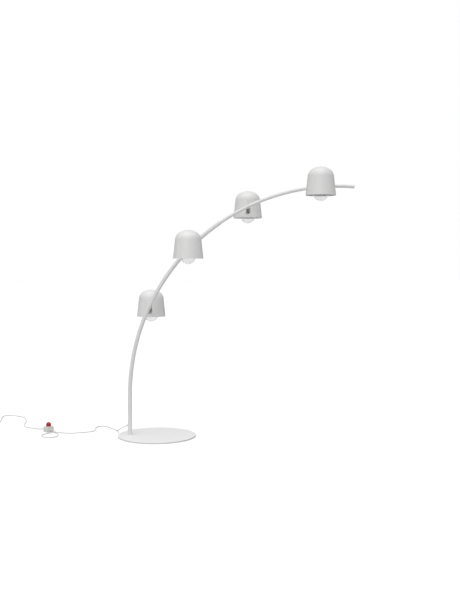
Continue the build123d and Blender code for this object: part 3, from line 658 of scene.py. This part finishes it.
# %% Helper: one finish
def finish(name, color, roughness, tone=0.03, rough_change=0.06, patch=9.0, dust=0.08,
           ripple=600.0, grain=3000.0, grain_share=0.3, bump=0.00003, **sockets):
    """A material with the shared effects; sockets are set on the shader by name."""
    material = bpy.data.materials.new(name)
    material.use_nodes = True
    tree = material.node_tree
    shader = tree.nodes["Principled BSDF"]
    handled = tree.nodes.new("ShaderNodeGroup")
    handled.node_tree = handling_group
    handled.inputs["Base Color"].default_value = (*color, 1.0)
    handled.inputs["Tone Change"].default_value = tone
    handled.inputs["Roughness"].default_value = roughness
    handled.inputs["Roughness Change"].default_value = rough_change
    handled.inputs["Patch Scale"].default_value = patch
    handled.inputs["Dust"].default_value = dust
    tree.links.new(handled.outputs["Color"], shader.inputs["Base Color"])
    tree.links.new(handled.outputs["Roughness"], shader.inputs["Roughness"])
    rippled = tree.nodes.new("ShaderNodeGroup")
    rippled.node_tree = ripple_group
    rippled.inputs["Ripple Scale"].default_value = ripple
    rippled.inputs["Grain Scale"].default_value = grain
    rippled.inputs["Grain Share"].default_value = grain_share
    relief = tree.nodes.new("ShaderNodeBump")
    relief.inputs["Distance"].default_value = bump
    tree.links.new(rippled.outputs["Height"], relief.inputs["Height"])
    tree.links.new(relief.outputs["Normal"], shader.inputs["Normal"])
    for label, value in sockets.items():
        shader.inputs[label.replace("_", " ")].default_value = value
    return material


# %% [markdown]
# The painted pieces share one satin white. The shades take it a touch warmer. The base plate
# gets the same white
# painted lighter, as painted light: it lies flat, and under this studio's light it would look
# darker than the upright pieces do, so its lighter colour stands in for light it does not get.
# The plastics are a little softer in their gloss. The button is the only strong colour on the
# lamp, so its red gets a clear coat for a crisp highlight.

# %% The finishes
finishes = {
    "white_paint": finish("white_paint", (0.80, 0.80, 0.80), 0.38, tone=0.02, Coat_Weight=0.12,
                          Coat_Roughness=0.2),
    # painted light: the base's white is made lighter than white_paint to stand in for light a
    # flat piece does not get
    "base_painted_brighter": finish("base_painted_brighter", (0.90, 0.90, 0.90), 0.45, tone=0.015, ripple=500.0,
                         Coat_Weight=0.05, Coat_Roughness=0.3),
    "shade_paint": finish("shade_paint", (0.80, 0.80, 0.795), 0.42, tone=0.02, patch=14.0,
                          ripple=700.0, Coat_Weight=0.10, Coat_Roughness=0.25),
    "white_plastic": finish("white_plastic", (0.80, 0.80, 0.79), 0.40, tone=0.025, ripple=1500.0,
                            grain=6000.0, grain_share=0.6, bump=0.00002),
    "cord_white": finish("cord_white", (0.78, 0.78, 0.77), 0.48, tone=0.05, patch=30.0,
                         ripple=900.0, grain=4000.0, bump=0.00003, dust=0.15),
    "red_plastic": finish("red_plastic", (0.46, 0.002, 0.030), 0.34, tone=0.08, patch=40.0,
                          ripple=1200.0, grain=5000.0, bump=0.00001, dust=0.03,
                          Coat_Weight=0.12, Coat_Roughness=0.10),
    "dark_plastic": finish("dark_plastic", (0.035, 0.035, 0.037), 0.50, tone=0.2, patch=60.0,
                           ripple=1800.0, grain=7000.0, bump=0.00003),
    "pad_rubber": finish("pad_rubber", (0.05, 0.05, 0.05), 0.80, tone=0.3, patch=80.0,
                         ripple=1200.0, grain=5000.0, bump=0.00008),
    "washer_fibre": finish("washer_fibre", (0.16, 0.15, 0.14), 0.75, tone=0.3, patch=120.0,
                           ripple=2500.0, grain=8000.0, bump=0.00008),
    "bright_steel": finish("bright_steel", (0.60, 0.61, 0.62), 0.28, tone=0.12, patch=70.0,
                           rough_change=0.14, ripple=1400.0, grain=6000.0, bump=0.00001,
                           Metallic=1.0),
    "nickel_cap": finish("nickel_cap", (0.66, 0.64, 0.60), 0.24, tone=0.14, patch=90.0,
                         rough_change=0.12, ripple=1600.0, grain=6000.0, bump=0.00001,
                         Metallic=1.0),
    "filament_wire": finish("filament_wire", (0.55, 0.42, 0.20), 0.45, tone=0.25, patch=200.0,
                            ripple=4000.0, grain=9000.0, bump=0.00002, Metallic=0.6),
}
print("finishes", len(finishes))

# %% [markdown]
# Clear glass keeps a plain transmission on the shader. A real bulb is blown, so its wall
# is not perfectly even: a very slow, very shallow ripple bends what is seen through it.

# %% Bulb glass
glass = bpy.data.materials.new("clear_glass")
glass.use_nodes = True
shader = glass.node_tree.nodes["Principled BSDF"]
shader.inputs["Base Color"].default_value = (0.90, 0.905, 0.905, 1.0)
shader.inputs["Roughness"].default_value = 0.02
shader.inputs["Transmission Weight"].default_value = 1.0
shader.inputs["IOR"].default_value = 1.5
blown = glass.node_tree.nodes.new("ShaderNodeGroup")
blown.node_tree = ripple_group
blown.inputs["Ripple Scale"].default_value = 35.0
blown.inputs["Grain Scale"].default_value = 90.0
waver = glass.node_tree.nodes.new("ShaderNodeBump")
waver.inputs["Distance"].default_value = 0.0002
waver.inputs["Strength"].default_value = 0.06
glass.node_tree.links.new(blown.outputs["Height"], waver.inputs["Height"])
glass.node_tree.links.new(waver.outputs["Normal"], shader.inputs["Normal"])
finishes["clear_glass"] = glass
print("glass, index of refraction", shader.inputs["IOR"].default_value)

# %% [markdown]
# Each solid knows the name of the finish it should have, so most pieces are painted from
# that table in one loop. The base plate then gets the lighter copy of its white, painted light
# that stands in for the light a flat piece misses, and the pieces that were made here are
# painted one by one.

# %% Put the finishes on
slot_of = {row["node"]: row["material_slot"] for row in frame["record"]["subparts"]}


def paint(piece, slot):
    """Give a piece one finish in every slot it has."""
    if not piece.data.materials:
        piece.data.materials.append(finishes[slot])
    for index in range(len(piece.data.materials)):
        piece.data.materials[index] = finishes[slot]


for node, piece in frame["nodes"].items():
    paint(piece, slot_of[node])
# painted light: the base plate takes the lightened copy of the white, standing in for light it
# does not get
paint(frame["nodes"]["base_plate"], "base_painted_brighter")
for lamp in lamps:
    paint(bpy.data.objects[f"lamp_{lamp}_rim_bead"], "shade_paint")
    paint(bpy.data.objects[f"lamp_{lamp}_grip_ribs"], "white_plastic")
for piece in sleeves.values():
    paint(piece, "white_plastic")
paint(coil_tie, "dark_plastic")
paint(return_spring, "bright_steel")
paint(lamp_cord, "cord_white")
paint(mains_cord, "cord_white")
print("pieces painted:", len(frame["nodes"]) + 2 * len(lamps) + len(sleeves) + 3)

# %% [markdown]
# ## Studio
# The lamp is white on white, so only soft shading shows its form. A very wide sun lights
# the whole floor evenly, one panel stands in front of the lamp, and the sky is brighter
# overhead than at the sides. Tops then come out nearly as bright as the floor, and sides a
# clear step darker, which separates the arm and the shades from the background.
#
# A floor bright enough to look white would throw so much light back that the shading is
# lost. So floor and sky have two looks each: a white one where they are looked at, and a
# dimmer one for the light they give. A Light Path node tells the two apart. A real studio
# does the same with a background that has its own lamps.

# %% Helper: what is looked at directly
def direct_look(nodes, links):
    """1 where the camera looks straight at something or through clear glass, 0 elsewhere."""
    path = nodes.new("ShaderNodeLightPath")
    either = nodes.new("ShaderNodeMath")
    either.operation = "MAXIMUM"
    links.new(path.outputs["Is Camera Ray"], either.inputs[0])
    links.new(path.outputs["Is Transmission Ray"], either.inputs[1])
    return either.outputs[0]


# %% [markdown]
# The floor is a plain sheet, large enough that its edge is never seen. A little emission
# lifts its seen side to white, which leaves the shadows on it very faint.

# %% Floor
FLOOR_HALF = 40.0
FLOOR_SEEN, FLOOR_LIFT, FLOOR_AS_LIGHT = 0.95, 0.14, 0.55
floor_mesh = bpy.data.meshes.new("studio_floor")
shape = bmesh.new()
bmesh.ops.create_grid(shape, x_segments=4, y_segments=4, size=FLOOR_HALF)
shape.to_mesh(floor_mesh)
shape.free()
floor = bpy.data.objects.new("studio_floor", floor_mesh)
bpy.context.collection.objects.link(floor)
floor_paint = bpy.data.materials.new("studio_floor")
floor_paint.use_nodes = True
tree = floor_paint.node_tree
as_seen = tree.nodes["Principled BSDF"]
as_seen.inputs["Base Color"].default_value = (FLOOR_SEEN, FLOOR_SEEN, FLOOR_SEEN, 1)
as_seen.inputs["Roughness"].default_value = 1.0
as_seen.inputs["Specular IOR Level"].default_value = 0.0
as_seen.inputs["Emission Color"].default_value = (1, 1, 1, 1)
as_seen.inputs["Emission Strength"].default_value = FLOOR_LIFT
as_lit = tree.nodes.new("ShaderNodeBsdfDiffuse")
as_lit.inputs["Color"].default_value = (FLOOR_AS_LIGHT, FLOOR_AS_LIGHT, FLOOR_AS_LIGHT, 1)
choose = tree.nodes.new("ShaderNodeMixShader")
tree.links.new(direct_look(tree.nodes, tree.links), choose.inputs[0])
tree.links.new(as_lit.outputs[0], choose.inputs[1])
tree.links.new(as_seen.outputs[0], choose.inputs[2])
tree.links.new(choose.outputs[0], tree.nodes["Material Output"].inputs["Surface"])
floor_mesh.materials.append(floor_paint)
print("floor", 2 * FLOOR_HALF, "m wide")

# %% [markdown]
# The sky is a gradient and not a picture: it gets brighter from the horizon upwards, and
# dimmer to the left and the right, so that round things turn darker towards their edges.

# %% Sky
HORIZON, ZENITH = 0.35, 0.95
SIDE_FROM, SIDE_LEVEL = 0.3, 0.75
world = bpy.data.worlds.new("studio_sky")
bpy.context.scene.world = world
world.use_nodes = True
nodes, links = world.node_tree.nodes, world.node_tree.links
nodes.clear()
direction = nodes.new("ShaderNodeSeparateXYZ")
links.new(nodes.new("ShaderNodeTexCoord").outputs["Generated"], direction.inputs[0])
overhead = mapped(nodes, links, direction.outputs["Z"], 0.0, 1.0, HORIZON, ZENITH)
sideways = nodes.new("ShaderNodeMath")
sideways.operation = "ABSOLUTE"
links.new(direction.outputs["X"], sideways.inputs[0])
dimmed = mapped(nodes, links, sideways.outputs[0], SIDE_FROM, 1.0, 1.0, SIDE_LEVEL)
level = nodes.new("ShaderNodeMath")
level.operation = "MULTIPLY"
links.new(overhead, level.inputs[0])
links.new(dimmed, level.inputs[1])
lighting = nodes.new("ShaderNodeBackground")
links.new(level.outputs[0], lighting.inputs["Strength"])
seen = nodes.new("ShaderNodeBackground")
seen.inputs["Color"].default_value = (1, 1, 1, 1)
seen.inputs["Strength"].default_value = 1.0
choose = nodes.new("ShaderNodeMixShader")
links.new(direct_look(nodes, links), choose.inputs[0])
links.new(lighting.outputs[0], choose.inputs[1])
links.new(seen.outputs[0], choose.inputs[2])
sky_out = nodes.new("ShaderNodeOutputWorld")
links.new(choose.outputs[0], sky_out.inputs["Surface"])
print("sky from", HORIZON, "at the horizon to", ZENITH, "overhead")

# %% [markdown]
# The overhead light is a sun as wide as a third of the sky. A panel could do the same for
# the lamp alone, but a sun reaches all of the floor equally, so the floor has no bright
# patch. It stands a little in front of the lamp and to the left.

# %% Overhead light
SUN_POWER, SUN_WIDTH = 1.4, 60
sun_data = bpy.data.lights.new("overhead_light", "SUN")
sun_data.energy = SUN_POWER
sun_data.angle = math.radians(SUN_WIDTH)
sun = bpy.data.objects.new("overhead_light", sun_data)
sun.rotation_euler = Vector((-0.15, -0.3, 1.0)).to_track_quat("Z", "Y").to_euler()
bpy.context.collection.objects.link(sun)
print("sun", SUN_WIDTH, "degrees wide")

# %% [markdown]
# The front panel is weak. It only opens up the sides that face the viewer: a stronger one
# makes the shades look flat.

# %% Front panel
PANEL_SIZE, PANEL_POWER = 3.0, 32.0
panel_place, panel_target = Vector((-0.8, -4.6, 2.2)), Vector((0.4, 0.0, 1.2))
panel_data = bpy.data.lights.new("front_panel", "AREA")
panel_data.shape = "SQUARE"
panel_data.size = PANEL_SIZE
panel_data.energy = PANEL_POWER
panel = bpy.data.objects.new("front_panel", panel_data)
panel.location = panel_place
panel.rotation_euler = (panel_target - panel_place).to_track_quat("-Z", "Y").to_euler()
bpy.context.collection.objects.link(panel)
bpy.context.scene.view_settings.view_transform = "Standard"
bpy.context.scene.view_settings.look = "None"
print("front panel", PANEL_POWER, "W")
